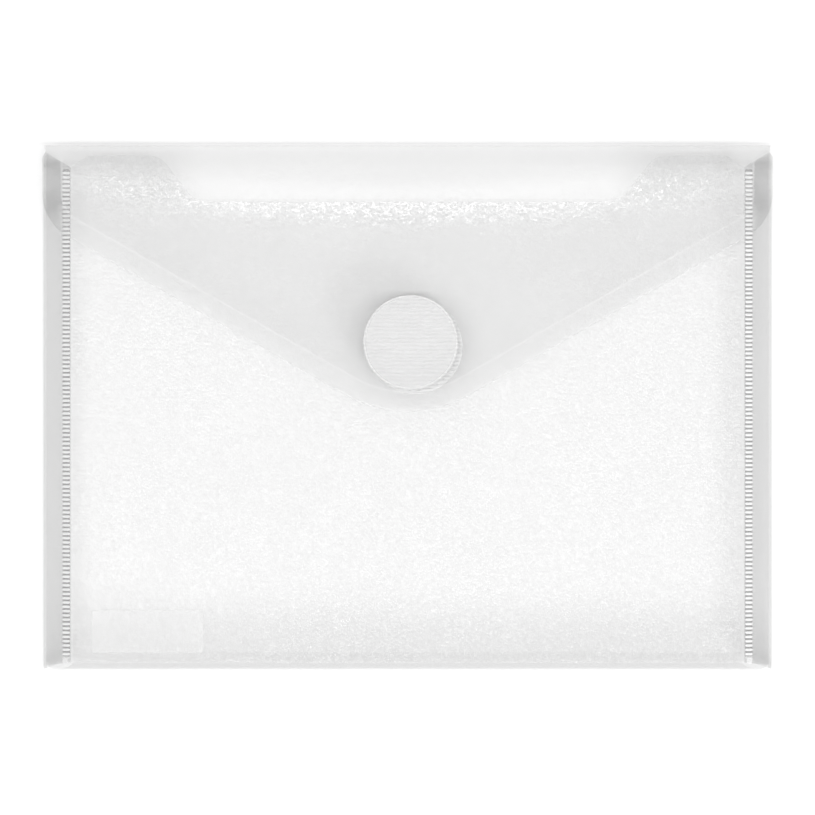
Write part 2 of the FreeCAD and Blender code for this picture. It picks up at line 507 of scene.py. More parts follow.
def flapPoint(x, q):
    if q > flapStart:
        across, up = walk(flapFold, q - flapStart)
        depth = max(0.0, q - flapStart - flapBend)
        bow = backValues["spineBow"] * math.sin(math.pi * min(1 - depth / (2 * spineMid), 1))
        return x, flapStart + across + max(bow, 0.0), flapMid + up
    v = flapValues
    rise = smooth(0.0, v["riseReach"], topY - v["riseDrop"] - q)
    z = v["lift"] * rise * liftedBand(x, q, v["liftCentre"], v["liftCurve"], v["liftSpread"])
    disc = math.hypot(x - discX, q - discY)
    free = smooth(discRadius, discRadius + 13, disc) * rise
    z += v["ripple"] * free * ripple(x, q, 3.0)
    z += v["lineHeight"] * bell(lineDistance(x, q), v["lineReach"])
    for row in v["scoreRows"]:
        z += v["scoreHeight"] * bell(q - topY + row, v["scoreReach"])
    return x, q, flapMid + z


# crease whitening with painted highlights on the embossed line, the score rows and the top crease, and
# painted light in the margin outside the line
def flapWhiteningAndLight(x, q):
    near = lineDistance(x, q)
    mark = bell(near, 0.3)
    if q < topY - flapValues["lineDrop"] and not insideLine(x, q):
        margin = flapValues["marginPaintedLight"] * smooth(0.0, 0.3, near)
        mark = max(mark, margin * (1 - flapShade(x, q)))
    for row in flapValues["scoreRows"]:
        mark = max(mark, 0.4 * bell(q - topY + row, 0.25))
    return max(mark, 0.15 * bell(q - flapStart - flapBend / 2, 0.6))


# painted shade in the strips outside the embossed line at the sides, near the slanted edges and over
# the tab shoulders
def flapShade(x, q):
    v = flapValues
    beside = smooth(halfWidth - v["lineInset"] - 0.3, halfWidth - v["lineInset"], abs(x))
    beside *= smooth(topY - v["reliefDrop"], topY - v["reliefDrop"] - 2, q)
    edge = (q - pointY - abs(x) * math.tan(flapSlope)) * math.cos(flapSlope)
    margin = v["marginShade"] * (1 - smooth(v["lineInset"], v["lineInset"] + v["marginReach"], edge))
    shoulder = v["shoulderShade"] * smooth(*v["shoulderX"], abs(x)) * smooth(*v["shoulderY"], q)
    return max(beside, margin, shoulder)


def insideLine(x, q):
    # whether a point of the flap lies within the embossed line
    edge = pointY + flapValues["lineInset"] / math.cos(flapSlope) + abs(x) * math.tan(flapSlope)
    corner = halfWidth - flapValues["cornerRadius"]
    cornerTop = cornerY + flapValues["cornerRadius"] * math.tan((math.pi / 2 - flapSlope) / 2)
    if abs(x) > corner and q < cornerTop:
        reach = math.hypot(abs(x) - corner, q - cornerTop)
        return reach < flapValues["cornerRadius"] - flapValues["lineInset"]
    return q > edge and abs(x) < halfWidth - flapValues["lineInset"]


discX = (loopLow.x + loopHigh.x) / 2
discY = (loopLow.y + loopHigh.y) / 2
discRadius = (loopHigh.x - loopLow.x) / 2
hookX = (hookLow.x + hookHigh.x) / 2
hookY = (hookLow.y + hookHigh.y) / 2


def makeFlapFilm():
    spineEnd = flapStart + flapBend + flapMid - flapValues["creaseRadius"] - spineMid
    right = [
        (spineX, spineEnd, 0),
        (spineX, foldY, 0),
        (spineX - backValues["reliefDepth"], topY - backValues["reliefTop"], 0),
        (halfWidth, topY - backValues["reliefBottom"], 0),
        (halfWidth, cornerY, flapValues["cornerRadius"]),
        (0, pointY, flapValues["tipRadius"]),
    ]
    outline = roundedPath(mirrorHalf(right), 1.2)
    reach = flapValues["lineReach"]
    paths = [shiftedPath(linePath, reach * k / 2) for k in (-3, -2, -1, 0, 1, 2, 3)]
    for k in range(9):
        q = flapStart + flapBend * k / 8
        paths.append(acrossRow(-spineX, spineX, q, 90))
    for row in flapValues["scoreRows"]:
        half = spineX - backValues["reliefDepth"] - 0.1
        for k in (-1.6, -1, 0, 1, 1.6):
            q = topY - row + k * flapValues["scoreReach"]
            if q < flapStart - 0.02:
                paths.append(acrossRow(-half, half, q, 90))
    flat, triangles = fillPattern(outline, paths, 2.0, 0.9)
    masks = {"whitening_and_painted_light": flapWhiteningAndLight, "shade": flapShade}
    piece = makeShell("flapFilm", flat, triangles, flapPoint, film, masks)
    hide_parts("flap_panel", "top_spine")
    return piece


# Front film: two halves that meet in the middle, each with its flange folded under the wing

frontValues = {
    "tabDrop": 2.4,
    "tabChamfer": 3.9,
    "shoulderX": 57.6,
    "shoulderRadius": 5.0,
    "slopeAngle": 52.5,
    "cutoutDepth": 10.7,
    "cutoutRadius": 6.0,
    "lift": 0.55,
    "liftCentre": 47.0,
    "liftCurve": 4.4,
    "liftSpread": 1.75,
    "ripple": 0.1,
    "flangeX": 84.1,
    "bandTop": 2.5,
    # painted shade on the band above the bottom fold and on the tabs
    "bandShade": 0.75,
    "tabShade": 0.5,
    "tabRise": (45.0, 50.0),
    "stiffSides": (68.0, 77.0),
    "glintSides": (70.0, 78.0),
}
layer = film + wallValues["layerGap"]
flangeTurn = math.pi - wallTurn
wallTop = Vector((wallValues["topX"], 0, wallValues["topZ"]))
flangeLine = wallTop - slopeOut * layer
creaseX = flangeLine.x + (frontMid - flangeLine.z) * slopeUp.x / slopeUp.z
frontSide = creaseX - wallValues["creaseRadius"] * math.tan(flangeTurn / 2)
flangeBend = wallValues["creaseRadius"] * flangeTurn
frontFold = [(flangeBend, -flangeTurn), (30.0, 0.0)]


def frontHeight(x, q):
    v = frontValues
    free = 1 - smooth(*v["stiffSides"], abs(x))
    z = v["lift"] * liftedBand(x, q, v["liftCentre"], v["liftCurve"], v["liftSpread"]) * free
    disc = math.hypot(x - hookX, q - hookY)
    calm = smooth(11.0, 26.0, disc) * smooth(footY, footY + 12, q) * free
    return z + v["ripple"] * calm * ripple(x, q, 7.0)


def frontPoint(p, q):
    side = 1.0 if p >= 0 else -1.0
    if abs(p) > frontSide:
        across, up = walk(frontFold, abs(p) - frontSide)
        return side * (frontSide + across), q, frontMid + up
    return p, q, frontMid + frontHeight(p, q)


# crease whitening with a painted highlight along the flange crease
def frontWhiteningAndLight(p, q):
    return 0.8 * bell(abs(p) - frontSide - flangeBend / 2, 0.5)


# painted shade on the flange, the band above the bottom fold, the tabs and towards the bottom
def frontShade(p, q):
    v = frontValues
    band = smooth(footY + v["bandTop"], footY + v["bandTop"] - 0.3, q) * v["bandShade"]
    tab = smooth(*v["tabRise"], q) * v["tabShade"]
    wall = smooth(frontSide, frontSide + flangeBend, abs(p)) * wallShade(q)
    return max(wall, band, tab, lowerShade(q))


def frontGlint(p, q):
    # mask of the painted glints of the orange peel, where it catches the light just inside the mouth
    v = frontValues
    band = liftedBand(p, q, v["liftCentre"], v["liftCurve"], v["liftSpread"] * 1.3)
    return 4 * band * (1 - band) * (1 - smooth(*v["glintSides"], abs(p)))


def flangePattern(x):
    start = frontSide + flangeBend
    startX = frontSide + walk(frontFold, flangeBend)[0]
    return start + (x - startX) / math.cos(flangeTurn)


def makeFrontHalf(side):
    v = frontValues
    slope = math.radians(v["slopeAngle"])
    tabY = topY - v["tabDrop"]
    floorY = tabY - v["cutoutDepth"]
    floorX = v["shoulderX"] - v["cutoutDepth"] / math.tan(slope)
    outer = flangePattern(v["flangeX"])
    corners = [
        (0, floorY, 0),
        (floorX, floorY, v["cutoutRadius"]),
        (v["shoulderX"], tabY, v["shoulderRadius"]),
        (creaseX - v["tabChamfer"], tabY, 0),
        (creaseX, notchY, 0),
        (outer, notchY + backValues["chamferTop"] - 0.5, 0),
        (outer, footY - 0.6, 0),
        (creaseX, footY, 0),
        (0, footY, 0),
    ]
    outline = roundedPath(corners, 1.4)
    rows = []
    for k in range(7):
        p = frontSide + flangeBend * k / 6
        rows.append(alongRow(p, footY + 0.05, notchY - 0.1, 70))
    rows.append(alongRow(frontSide - 0.4, footY + 3, notchY, 70))
    for q in (footY + v["bandTop"], footY + v["bandTop"] - 0.3):
        rows.append(acrossRow(0.5, frontSide - 0.5, q, 60))
    flat, triangles = fillPattern(outline, rows, 2.2, 1.1)
    if side < 0:
        flat, triangles = mirrorPattern(flat, triangles)
    name = "frontFilmRight" if side > 0 else "frontFilmLeft"
    masks = {"whitening_and_painted_light": frontWhiteningAndLight, "shade": frontShade, "glint": frontGlint}
    piece = makeShell(name, flat, triangles, frontPoint, film, masks)
    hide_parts("front_panel", "right_flange" if side > 0 else "left_flange")
    return piece


# Node groups and materials

def newGroup(name, inputs, outputs):
    group = bpy.data.node_groups.new(name, "ShaderNodeTree")
    for title, kind, value in inputs:
        socket = group.interface.new_socket(title, in_out="INPUT", socket_type=kind)
        socket.default_value = value
    for title, kind in outputs:
        group.interface.new_socket(title, in_out="OUTPUT", socket_type=kind)
    start = group.nodes.new("NodeGroupInput")
    end = group.nodes.new("NodeGroupOutput")
    return group, start, end


def addNode(tree, kind, **values):
    node = tree.nodes.new(kind)
    for key, value in values.items():
        if hasattr(node, key):
            setattr(node, key, value)
        else:
            node.inputs[key.replace("_", " ")].default_value = value
    return node


def mathNode(tree, operation, *inputs):
    # each input is a number or another node's output
    node = addNode(tree, "ShaderNodeMath", operation=operation)
    for socket, value in zip(node.inputs, inputs):
        if isinstance(value, (int, float)):
            socket.default_value = value
        else:
            tree.links.new(value, socket)
    return node.outputs[0]


def rangeNode(tree, source, fromRange, toRange):
    node = addNode(
        tree, "ShaderNodeMapRange",
        From_Min=fromRange[0], From_Max=fromRange[1], To_Min=toRange[0], To_Max=toRange[1],
    )
    tree.links.new(source, node.inputs["Value"])
    return node.outputs[0]


# the grain's heights are remapped to the strength of the painted glints
grainValues = {"slowShare": 0.4, "heights": (0.55, 1.05), "sparkle": (-1.0, 2.5)}


def makeGrainGroup():
    # orange-peel surface: fine cells over a slower roll, as a height
    group, start, end = newGroup(
        "filmGrain",
        [("Fine", "NodeSocketFloat", 2200.0), ("Slow", "NodeSocketFloat", 700.0)],
        [("Height", "NodeSocketFloat")],
    )
    place = addNode(group, "ShaderNodeTexCoord")
    layers = []
    for scale in ("Fine", "Slow"):
        texture = addNode(group, "ShaderNodeTexNoise", Detail=0.0)
        group.links.new(place.outputs["Object"], texture.inputs["Vector"])
        group.links.new(start.outputs[scale], texture.inputs["Scale"])
        layers.append(texture.outputs["Fac"])
    total = mathNode(group, "MULTIPLY_ADD", layers[1], grainValues["slowShare"], layers[0])
    group.links.new(total, end.inputs["Height"])
    return group


def makeTintAndLightGroup():
    # film colour: slow haze, painted shade, painted glints and the whitened creases with their painted
    # highlights
    group, start, end = newGroup(
        "filmTintAndPaintedLight",
        [
            ("Film", "NodeSocketColor", (0.5, 0.5, 0.5, 1)),
            ("Shaded", "NodeSocketColor", (0.4, 0.4, 0.4, 1)),
            ("Crease_and_painted_light", "NodeSocketColor", (0.9, 0.9, 0.9, 1)),
            ("Haze", "NodeSocketFloat", 0.04),
            ("Rough", "NodeSocketFloat", 0.25),
            ("PaintedGlint", "NodeSocketFloat", 0.0),
        ],
        [
            ("Color", "NodeSocketColor"),
            ("Roughness", "NodeSocketFloat"),
            ("Density", "NodeSocketFloat"),
        ],
    )
    place = addNode(group, "ShaderNodeTexCoord")
    haze = addNode(group, "ShaderNodeTexNoise", Scale=60.0, Detail=1.0)
    group.links.new(place.outputs["Object"], haze.inputs["Vector"])
    centred = mathNode(group, "SUBTRACT", haze.outputs["Fac"], 0.5)
    uneven = mathNode(group, "MULTIPLY", centred, start.outputs["Haze"])
    # painted glints: the glint mask times the grain brightens the colour and raises the opacity
    glint = addNode(group, "ShaderNodeAttribute", attribute_name="glint")
    sparkle = mathNode(group, "MULTIPLY_ADD", glint.outputs["Fac"], start.outputs["PaintedGlint"], 1.0)
    value = mathNode(group, "MAXIMUM", mathNode(group, "ADD", uneven, sparkle), 0.0)
    # painted shade: the film colour is mixed towards the shaded colour by the shade mask
    shade = addNode(group, "ShaderNodeAttribute", attribute_name="shade")
    paintedShadeMix = addNode(group, "ShaderNodeMix", data_type="RGBA")
    group.links.new(shade.outputs["Fac"], paintedShadeMix.inputs["Factor"])
    group.links.new(start.outputs["Film"], paintedShadeMix.inputs[6])
    group.links.new(start.outputs["Shaded"], paintedShadeMix.inputs[7])
    shadedAndGlinted = addNode(group, "ShaderNodeVectorMath", operation="SCALE")
    group.links.new(paintedShadeMix.outputs[2], shadedAndGlinted.inputs[0])
    group.links.new(value, shadedAndGlinted.inputs["Scale"])
    # crease whitening with painted highlights: mixed towards the crease colour by its mask
    mask = addNode(group, "ShaderNodeAttribute", attribute_name="whitening_and_painted_light")
    mixed = addNode(group, "ShaderNodeMix", data_type="RGBA")
    group.links.new(mask.outputs["Fac"], mixed.inputs["Factor"])
    group.links.new(shadedAndGlinted.outputs[0], mixed.inputs[6])
    group.links.new(start.outputs["Crease_and_painted_light"], mixed.inputs[7])
    group.links.new(mixed.outputs[2], end.inputs["Color"])
    rough = mathNode(group, "MULTIPLY_ADD", mask.outputs["Fac"], 0.15, start.outputs["Rough"])
    group.links.new(rough, end.inputs["Roughness"])
    group.links.new(mathNode(group, "MAXIMUM", sparkle, 1.0), end.inputs["Density"])
    return group


grainGroup = makeGrainGroup()
tintAndLightGroup = makeTintAndLightGroup()


def newMaterial(name):
    material = bpy.data.materials.new(name)
    material.use_nodes = True
    tree = material.node_tree
    return material, tree, tree.nodes["Principled BSDF"]


def grey(value):
    return (value, value, value, 1)


def filmMaterial(name, v):
    material, tree, shader = newMaterial(name)
    shader.inputs["IOR"].default_value = v["ior"]
    shader.inputs["Specular IOR Level"].default_value = v["gloss"]
    tintAndLight = addNode(tree, "ShaderNodeGroup", node_tree=tintAndLightGroup)
    for title in ("Film", "Shaded", "Crease_and_painted_light"):
        tintAndLight.inputs[title].default_value = grey(v[title.lower()])
    for title in ("Haze", "Rough"):
        tintAndLight.inputs[title].default_value = v[title.lower()]
    tree.links.new(tintAndLight.outputs["Color"], shader.inputs["Base Color"])
    tree.links.new(tintAndLight.outputs["Roughness"], shader.inputs["Roughness"])
    opacityWithGlints = mathNode(tree, "MULTIPLY", tintAndLight.outputs["Density"], v["alpha"])
    tree.links.new(opacityWithGlints, shader.inputs["Alpha"])
    if v["grain"] > 0:
        grain = addNode(tree, "ShaderNodeGroup", node_tree=grainGroup)
        grain.inputs["Fine"].default_value = v["grainScale"]
        bump = addNode(tree, "ShaderNodeBump", Strength=1.0, Distance=v["grain"] / mm)
        tree.links.new(grain.outputs["Height"], bump.inputs["Height"])
        tree.links.new(bump.outputs["Normal"], shader.inputs["Normal"])
        # the grain's height, remapped, sets the strength of the painted glints
        heights, sparkle = grainValues["heights"], grainValues["sparkle"]
        reliefAndPaintedLight = rangeNode(tree, grain.outputs["Height"], heights, sparkle)
        tree.links.new(reliefAndPaintedLight, tintAndLight.inputs["PaintedGlint"])
    return material


plainFilm = {"gloss": 0.5, "ior": 1.49, "haze": 0.1, "rough": 0.3, "grain": 0.0, "grainScale": 0.0}
# the shaded colour is painted shade; the crease colour is the whitened creases with their painted
# highlights
filmLooks = {
    "backFilm": {**plainFilm, "alpha": 0.07, "film": 0.70, "shaded": 0.04, "crease_and_painted_light": 0.85},
    "frontFilm": {
        "alpha": 0.09, "film": 0.55, "shaded": 0.04, "crease_and_painted_light": 0.95, "gloss": 1.0, "ior": 1.9,
        "haze": 0.1, "rough": 0.17, "grain": 0.16, "grainScale": 1700.0,
    },
    "flapFilm": {
        "alpha": 0.11, "film": 0.6, "shaded": 0.02, "crease_and_painted_light": 1.0, "gloss": 1.0, "ior": 1.58,
        "haze": 0.08, "rough": 0.2, "grain": 0.03, "grainScale": 2000.0,
    },
}

backFilm = makeBackFilm()
backFilm.data.materials.append(filmMaterial("backFilm", filmLooks["backFilm"]))
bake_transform(backFilm)
print("back film:", len(backFilm.data.polygons), "faces")

flapFilm = makeFlapFilm()
flapFilm.data.materials.append(filmMaterial("flapFilm", filmLooks["flapFilm"]))
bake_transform(flapFilm)
print("flap film:", len(flapFilm.data.polygons), "faces")

frontMaterial = filmMaterial("frontFilm", filmLooks["frontFilm"])
for side in (-1, 1):
    half = makeFrontHalf(side)
    half.data.materials.append(frontMaterial)
    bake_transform(half)
print("front film made")

# Pieces made of many repeats, by geometry nodes

def newTree(name, inputs):
    tree = bpy.data.node_groups.new(name, "GeometryNodeTree")
    tree.interface.new_socket("Base", in_out="INPUT", socket_type="NodeSocketGeometry")
    for title, kind in inputs:
        tree.interface.new_socket(title, in_out="INPUT", socket_type=kind)
    tree.interface.new_socket("Whole", in_out="OUTPUT", socket_type="NodeSocketGeometry")
    return tree, tree.nodes.new("NodeGroupInput"), tree.nodes.new("NodeGroupOutput")


def joinAndFinish(tree, start, end, repeats, repeatMaterial="Material"):
    realized = tree.nodes.new("GeometryNodeRealizeInstances")
    joined = tree.nodes.new("GeometryNodeJoinGeometry")
    tree.links.new(repeats, realized.inputs["Geometry"])
    for piece, material in (
            (realized.outputs["Geometry"], repeatMaterial), (start.outputs["Base"], "Material")):
        painted = tree.nodes.new("GeometryNodeSetMaterial")
        tree.links.new(piece, painted.inputs["Geometry"])
        tree.links.new(start.outputs[material], painted.inputs["Material"])
        tree.links.new(painted.outputs["Geometry"], joined.inputs["Geometry"])
    tree.links.new(joined.outputs["Geometry"], end.inputs["Whole"])


def runTree(piece, tree, values):
    modifier = piece.modifiers.new("repeats", "NODES")
    modifier.node_group = tree
    for item in tree.interface.items_tree:
        if item.name in values:
            modifier[item.identifier] = values[item.name]
    graph = bpy.context.evaluated_depsgraph_get()
    mesh = bpy.data.meshes.new_from_object(
        piece.evaluated_get(graph), preserve_all_data_layers=True, depsgraph=graph)
    piece.modifiers.clear()
    piece.data = mesh
    mesh.name = piece.name


def makeToothTree():
    tree, start, end = newTree("weldTeeth", [
        ("Count", "NodeSocketInt"), ("First", "NodeSocketVector"), ("Pitch", "NodeSocketVector"),
        ("Size", "NodeSocketVector"), ("Tilt", "NodeSocketVector"), ("Material", "NodeSocketMaterial"),
        ("Bars", "NodeSocketMaterial"),
    ])
    line = addNode(tree, "GeometryNodeMeshLine")
    tree.links.new(start.outputs["Count"], line.inputs["Count"])
    tree.links.new(start.outputs["First"], line.inputs["Start Location"])
    tree.links.new(start.outputs["Pitch"], line.inputs["Offset"])
    block = addNode(tree, "GeometryNodeMeshCube", Vertices_X=4)
    tree.links.new(start.outputs["Size"], block.inputs["Size"])
    rounded = addNode(tree, "GeometryNodeSubdivisionSurface")
    soft = addNode(tree, "GeometryNodeSetShadeSmooth")
    # the bars take the crease colour in full: a painted highlight
    mark = addNode(
        tree, "GeometryNodeStoreNamedAttribute",
        data_type="FLOAT", domain="POINT", Name="whitening_and_painted_light", Value=1.0,
    )
    tree.links.new(block.outputs["Mesh"], rounded.inputs["Mesh"])
    tree.links.new(rounded.outputs["Mesh"], soft.inputs["Geometry"])
    tree.links.new(soft.outputs["Geometry"], mark.inputs["Geometry"])
    placed = addNode(tree, "GeometryNodeInstanceOnPoints")
    tree.links.new(line.outputs["Mesh"], placed.inputs["Points"])
    tree.links.new(mark.outputs["Geometry"], placed.inputs["Instance"])
    tree.links.new(start.outputs["Tilt"], placed.inputs["Rotation"])
    joinAndFinish(tree, start, end, placed.outputs["Instances"], "Bars")
    return tree


# Weld seams: a pressed land on the wing, a plain pad at its foot and a row of bars

seamValues = {
    "inner": 0.02,
    "outer": 2.08,
    "landRise": 0.05,
    "padTop": -58.2,
    "padInner": 0.55,
    "toothPitch": 1.0,
    "toothLength": 2.3,
    "toothWidth": 0.68,
    "toothHeight": 0.26,
    "toothEnds": 0.9,
    "landAlpha": 0.26,
    "toothAlpha": 0.7,
    # painted shade of the land and painted highlight of the bars and pad
    "landPaintedShade": 0.15,
    "tooth": 1.0,
}


def seamPoint(p, q):
    side = 1.0 if p >= 0 else -1.0
    spot = wallTop - slopeUp * abs(p) + slopeOut * (film / 2 + seamValues["landRise"])
    return side * spot.x, q, spot.z


# the pad at the seam's foot takes the crease colour: a painted highlight
def seamWhiteningAndLight(p, q):
    return smooth(seamValues["padTop"] + 0.2, seamValues["padTop"], q)


def makeSeam(side, tree, material, barMaterial):
    v = seamValues
    corners = [
        (v["inner"], seamHigh.y, 0.3),
        (v["inner"], v["padTop"], 0.3),
        (v["padInner"], v["padTop"] - 0.4, 0.2),
        (v["padInner"], seamLow.y, 0.4),
        (v["outer"], seamLow.y, 0.4),
        (v["outer"], seamHigh.y, 0.3),
    ]
    outline = roundedPath(corners, 0.8)
    flat, triangles = fillPattern(outline, [], 0.8, 0.8)
    if side < 0:
        flat, triangles = mirrorPattern(flat, triangles)
    masks = {"whitening_and_painted_light": seamWhiteningAndLight, "shade": lambda p, q: 0.0}
    name = "rightSeam" if side > 0 else "leftSeam"
    piece = makeShell(name, flat, triangles, seamPoint, v["landRise"] * 1.6, masks)
    top = seamHigh.y - v["toothEnds"]
    count = int((top - v["padTop"] - 0.3) / v["toothPitch"]) + 1
    x, _, z = seamPoint(side * (v["inner"] + v["outer"]) / 2, 0)
    lift = slopeOut * 0.06
    runTree(piece, tree, {
        "Count": count,
        "First": ((x + side * lift.x) / mm, top / mm, (z + lift.z) / mm),
        "Pitch": (0.0, -v["toothPitch"] / mm, 0.0),
        "Size": (v["toothLength"] / mm, v["toothWidth"] / mm, v["toothHeight"] / mm),
        "Tilt": (0.0, side * (math.pi - wallTurn), 0.0),
        "Material": material,
        "Bars": barMaterial,
    })
    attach(piece, "back")
    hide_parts(name.replace("Seam", "_seam"))
    return piece


# painted shade on the land between the bars, painted highlight on the bars and the pad
weldLook = {
    **plainFilm, "gloss": 0.6, "alpha": seamValues["landAlpha"],
    "film": seamValues["landPaintedShade"], "shaded": seamValues["landPaintedShade"], "crease_and_painted_light": seamValues["tooth"],
}
weldMaterial = filmMaterial("weldLandPaintedShadeAndHighlight", weldLook)
barMaterial = filmMaterial("weldBarsPaintedHighlight", {**weldLook, "alpha": seamValues["toothAlpha"]})
toothTree = makeToothTree()
for side in (-1, 1):
    makeSeam(side, toothTree, weldMaterial, barMaterial)
print("seams made")


# Closure: two woven discs with hooks below and loops above, on adhesive

closureValues = {
    "backing": 0.36,
    "edge": 0.14,
    "hookPitch": 1.05,
    "hookWire": 0.075,
    "loopPitch": 0.52,
    "loopSize": 0.42,
    "loopWire": 0.035,
    "seed": 11,
    "ribs": 350.0,
    "adhesiveInset": 0.4,
}


def latheDisc(name, centreX, centreY, radius, low, high, edge):
    # a closed disc with a rounded rim; z values and radius in millimetres
    segments = 72
    edge = min(edge, (high - low) / 2)
    rings = [(radius * k / 6, high) for k in range(1, 6)]
    for k in range(5):
        angle = math.pi / 2 * k / 4
        rings.append((radius - edge + edge * math.sin(angle), high - edge + edge * math.cos(angle)))
    for k in range(5):
        angle = math.pi / 2 * k / 4
        rings.append((radius - edge + edge * math.cos(angle), low + edge - edge * math.sin(angle)))
    rings += [(radius * k / 6, low) for k in range(5, 0, -1)]
    verts = [(centreX, centreY, high)]
    for r, z in rings:
        for s in range(segments):
            angle = 2 * math.pi * s / segments
            verts.append((centreX + r * math.cos(angle), centreY + r * math.sin(angle), z))
    verts.append((centreX, centreY, low))
    faces = []
    for s in range(segments):
        faces.append((0, 1 + s, 1 + (s + 1) % segments))
    for k in range(len(rings) - 1):
        first, second = 1 + k * segments, 1 + (k + 1) * segments
        for s in range(segments):
            t = (s + 1) % segments
            faces.append((first + s, second + s, second + t, first + t))
    last = 1 + (len(rings) - 1) * segments
    for s in range(segments):
        faces.append((last + s, len(verts) - 1, last + (s + 1) % segments))
    mesh = bpy.data.meshes.new(name)
    mesh.from_pydata([tuple(c / mm for c in v) for v in verts], [], faces)
    mesh.shade_smooth()
    return addObject(name, mesh)


def makePileTree(name, curve, resolution):
    # instances a bent wire on the base's flat points, turned at random about z
    tree, start, end = newTree(name, [
        ("Count", "NodeSocketInt"), ("Centre", "NodeSocketVector"), ("Radius", "NodeSocketFloat"),
        ("Pitch", "NodeSocketFloat"), ("Wire", "NodeSocketFloat"), ("Turn", "NodeSocketFloat"),
        ("Seed", "NodeSocketInt"), ("Material", "NodeSocketMaterial"),
    ])
    pad = addNode(tree, "GeometryNodeMeshCircle", fill_type="NGON")
    tree.links.new(start.outputs["Radius"], pad.inputs["Radius"])
    moved = addNode(tree, "GeometryNodeTransform")
    tree.links.new(pad.outputs["Mesh"], moved.inputs["Geometry"])
    tree.links.new(start.outputs["Centre"], moved.inputs["Translation"])
    points = addNode(tree, "GeometryNodeDistributePointsOnFaces", distribute_method="POISSON")
    tree.links.new(moved.outputs["Geometry"], points.inputs["Mesh"])
    tree.links.new(start.outputs["Pitch"], points.inputs["Distance Min"])
    points.inputs["Density Max"].default_value = 6.0e6
    tree.links.new(start.outputs["Seed"], points.inputs["Seed"])
    wire = addNode(tree, "GeometryNodeCurvePrimitiveBezierSegment", Resolution=resolution)
    for title, spot in curve.items():
        wire.inputs[title].default_value = [c / mm for c in spot]
    profile = addNode(tree, "GeometryNodeCurvePrimitiveCircle", Resolution=4)
    tree.links.new(start.outputs["Wire"], profile.inputs["Radius"])
    tube = addNode(tree, "GeometryNodeCurveToMesh", Fill_Caps=True)
    tree.links.new(wire.outputs["Curve"], tube.inputs["Curve"])
    tree.links.new(profile.outputs["Curve"], tube.inputs["Profile Curve"])
    spin = addNode(tree, "FunctionNodeRandomValue", data_type="FLOAT")
    tree.links.new(start.outputs["Turn"], spin.inputs[3])
    tree.links.new(start.outputs["Seed"], spin.inputs["Seed"])
    turned = addNode(tree, "ShaderNodeCombineXYZ")
    tree.links.new(spin.outputs[1], turned.inputs["Z"])
    placed = addNode(tree, "GeometryNodeInstanceOnPoints")
    tree.links.new(points.outputs["Points"], placed.inputs["Points"])
    tree.links.new(tube.outputs["Mesh"], placed.inputs["Instance"])
    tree.links.new(turned.outputs[0], placed.inputs["Rotation"])
    joinAndFinish(tree, start, end, placed.outputs["Instances"])
    return tree


def nylonMaterial(name, tone, ribStrength):
    material, tree, shader = newMaterial(name)
    place = addNode(tree, "ShaderNodeTexCoord")
    ribs = addNode(
        tree, "ShaderNodeTexWave", bands_direction="Y",
        Scale=closureValues["ribs"], Distortion=3.5, Detail=1.0, Detail_Scale=1.5,
    )
    fuzz = addNode(tree, "ShaderNodeTexNoise", Scale=1600.0, Detail=1.0)
    tree.links.new(place.outputs["Object"], ribs.inputs["Vector"])
    tree.links.new(place.outputs["Object"], fuzz.inputs["Vector"])
    reliefAndPaintedLight = mathNode(tree, "MULTIPLY_ADD", ribs.outputs["Fac"], 0.5, fuzz.outputs["Fac"])
    # the colour follows the relief: the grooves between the ribs are painted darker as painted shade,
    # and the fuzz varies the tone
    colour = rangeNode(tree, reliefAndPaintedLight, (0.3, 1.2), (tone * 0.8, tone))
    tree.links.new(colour, shader.inputs["Base Color"])
    bump = addNode(tree, "ShaderNodeBump", Strength=ribStrength, Distance=0.0003)
    tree.links.new(reliefAndPaintedLight, bump.inputs["Height"])
    tree.links.new(bump.outputs["Normal"], shader.inputs["Normal"])
    shader.inputs["Roughness"].default_value = 0.75
    shader.inputs["Specular IOR Level"].default_value = 0.15
    shader.inputs["Sheen Weight"].default_value = 0.05
    return material


def adhesiveMaterial():
    material, tree, shader = newMaterial("adhesive")
    place = addNode(tree, "ShaderNodeTexCoord")
    blotch = addNode(tree, "ShaderNodeTexNoise", Scale=500.0, Detail=1.0)
    tree.links.new(place.outputs["Object"], blotch.inputs["Vector"])
    colour = rangeNode(tree, blotch.outputs["Fac"], (0.0, 1.0), (0.82, 0.92))
    tree.links.new(colour, shader.inputs["Base Color"])
    shader.inputs["Roughness"].default_value = 0.35
    shader.inputs["Alpha"].default_value = 0.25
    return material


